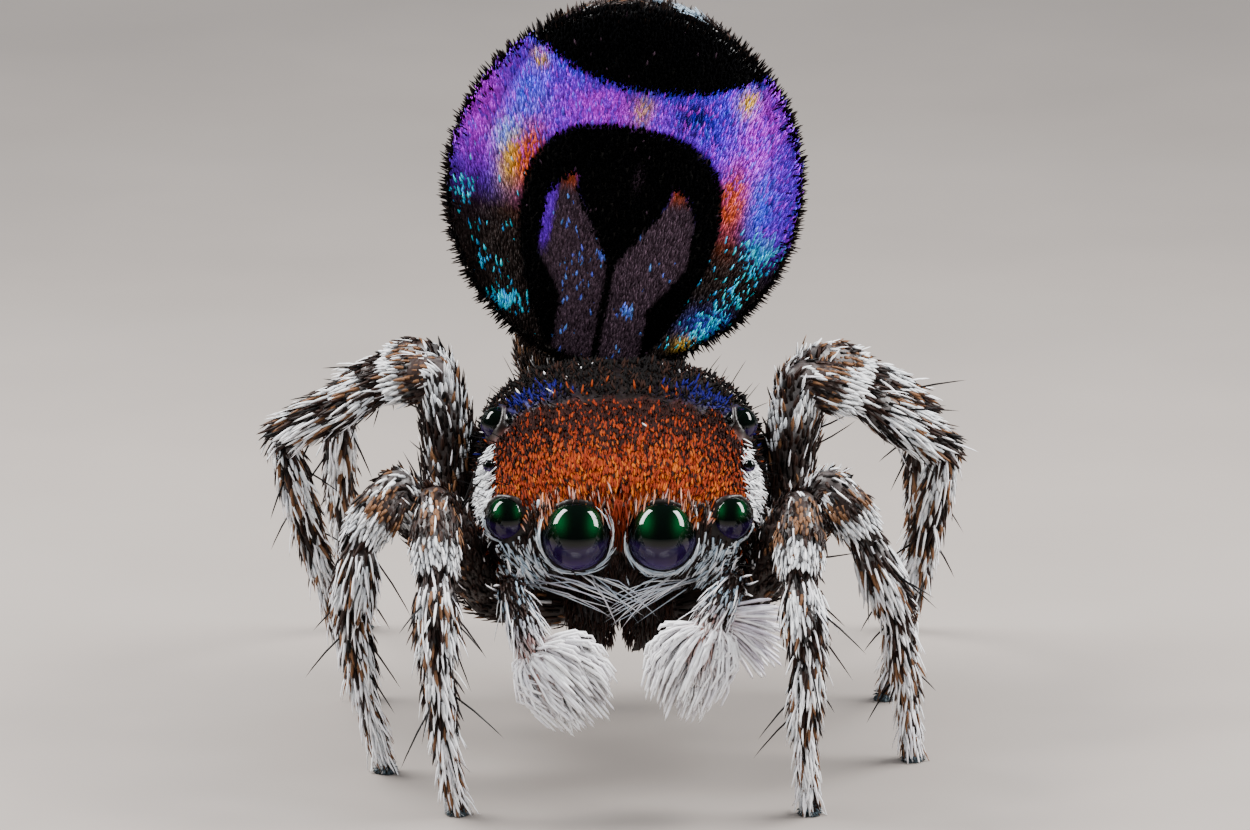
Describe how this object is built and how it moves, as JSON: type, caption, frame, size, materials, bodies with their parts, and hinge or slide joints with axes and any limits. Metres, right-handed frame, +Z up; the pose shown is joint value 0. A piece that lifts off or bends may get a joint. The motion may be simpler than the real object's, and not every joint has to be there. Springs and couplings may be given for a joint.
{
  "type": "peacock spider",
  "caption": "Male peacock spider in courtship display, standing on the floor with its flat, round abdomen raised like a fan behind the head; a still, life-size museum model.",
  "frame": {"origin": "middle of the bounding box, on the floor that all eight feet stand on", "axes": "+Z up; the face looks along -Y; the spider's left side is at +X"},
  "size_m": [0.0026, 0.0026, 0.0027],
  "materials": {
    "dark_cuticle": "dark brown chitin, half gloss",
    "orange_scales": "orange-red scale hairs over dark chitin",
    "fan_scales": "black velvet with iridescent violet, blue and gold scales",
    "leg_scales": "dark chitin under bands of white and tan scale hairs",
    "white_bristles": "long silky white bristles",
    "eye_lens": "smooth black lens, high gloss"
  },
  "bodies": {
    "root": {"carapace": "orange_scales", "eye_front_middle_right": "eye_lens", "eye_front_middle_left": "eye_lens", "eye_front_side_right": "eye_lens", "eye_front_side_left": "eye_lens", "eye_rear_small_right": "eye_lens", "eye_rear_small_left": "eye_lens", "eye_rear_side_right": "eye_lens", "eye_rear_side_left": "eye_lens", "sternum": "dark_cuticle", "pedicel": "dark_cuticle", "abdomen": "fan_scales", "fan_flap_right": "fan_scales", "fan_flap_left": "fan_scales", "spinnerets": "dark_cuticle", "chelicera_right": "dark_cuticle", "chelicera_left": "dark_cuticle", "leg1_right_coxa": "dark_cuticle", "leg1_right_femur": "leg_scales", "leg1_right_shin": "leg_scales", "leg1_right_foot": "leg_scales", "leg1_left_coxa": "dark_cuticle", "leg1_left_femur": "leg_scales", "leg1_left_shin": "leg_scales", "leg1_left_foot": "leg_scales", "leg2_right_coxa": "dark_cuticle", "leg2_right_femur": "leg_scales", "leg2_right_shin": "leg_scales", "leg2_right_foot": "leg_scales", "leg2_left_coxa": "dark_cuticle", "leg2_left_femur": "leg_scales", "leg2_left_shin": "leg_scales", "leg2_left_foot": "leg_scales", "leg3_right_coxa": "dark_cuticle", "leg3_right_femur": "leg_scales", "leg3_right_shin": "leg_scales", "leg3_right_foot": "leg_scales", "leg3_left_coxa": "dark_cuticle", "leg3_left_femur": "leg_scales", "leg3_left_shin": "leg_scales", "leg3_left_foot": "leg_scales", "leg4_right_coxa": "dark_cuticle", "leg4_right_femur": "leg_scales", "leg4_right_shin": "leg_scales", "leg4_right_foot": "leg_scales", "leg4_left_coxa": "dark_cuticle", "leg4_left_femur": "leg_scales", "leg4_left_shin": "leg_scales", "leg4_left_foot": "leg_scales", "palp_right_thigh": "leg_scales", "palp_right_arm": "white_bristles", "palp_right_hand": "white_bristles", "palp_left_thigh": "leg_scales", "palp_left_arm": "white_bristles", "palp_left_hand": "white_bristles"}
  },
  "joints": []
}
